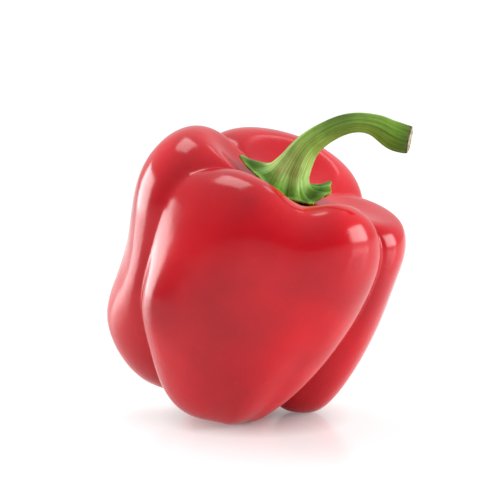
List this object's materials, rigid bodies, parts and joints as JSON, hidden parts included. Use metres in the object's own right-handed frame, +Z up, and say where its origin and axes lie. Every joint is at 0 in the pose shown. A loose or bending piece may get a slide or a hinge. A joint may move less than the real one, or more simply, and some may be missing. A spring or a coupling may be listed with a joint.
{
  "type": "bell pepper",
  "caption": "Blocky red bell pepper leaning over on its feet, with deep furrows between its lobes, a toothed green calyx in the hollow on top and a ridged green stem bent to one side.",
  "frame": {"origin": "centre of the bounding box at the height of the ground, under the feet", "axes": "+Z up from the ground; -Y is the side with the wide front lobe; +X is the side the stem bends to"},
  "size_m": [0.0936, 0.0854, 0.0966],
  "materials": {
    "red_skin": "waxy, smooth and very glossy, deep even red",
    "calyx_green": "matt, finely veined, darker in the folds between the teeth",
    "stem_green": "satin, striped lengthwise, brown rim and pale pith at the cut end"
  },
  "bodies": {
    "root": {"fruit": "red_skin", "calyx": "calyx_green", "stem": "stem_green"}
  },
  "joints": []
}
